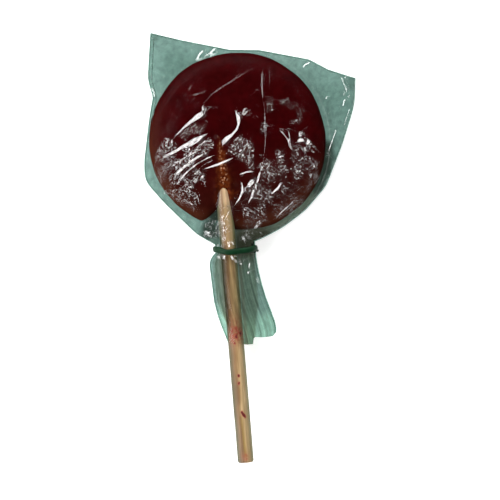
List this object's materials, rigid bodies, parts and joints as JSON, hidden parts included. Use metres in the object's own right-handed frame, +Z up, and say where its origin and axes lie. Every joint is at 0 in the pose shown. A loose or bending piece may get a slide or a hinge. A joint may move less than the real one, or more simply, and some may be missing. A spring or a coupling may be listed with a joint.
{
  "type": "wrapped lollipop",
  "caption": "Flat round dark hard-candy lollipop on a wooden dowel, in a clear film bag gathered and tied round the stick with a green elastic band.",
  "frame": {"origin": "middle of the flat underside that the lollipop lies on, under the centre of the candy disc", "axes": "+Z up through the domed side that shows, the stick runs along -Y from the disc"},
  "size_m": [0.0679, 0.1354, 0.0098],
  "materials": {
    "candy": "dark translucent boiled sugar, glossy",
    "wood": "plain sanded dowel, stained red in places",
    "film": "clear shiny film with a pale green cast",
    "elastic": "deep green, satin"
  },
  "bodies": {
    "root": {"candy": "candy", "stick": "wood", "wrapper": "film", "band": "elastic"}
  },
  "joints": []
}
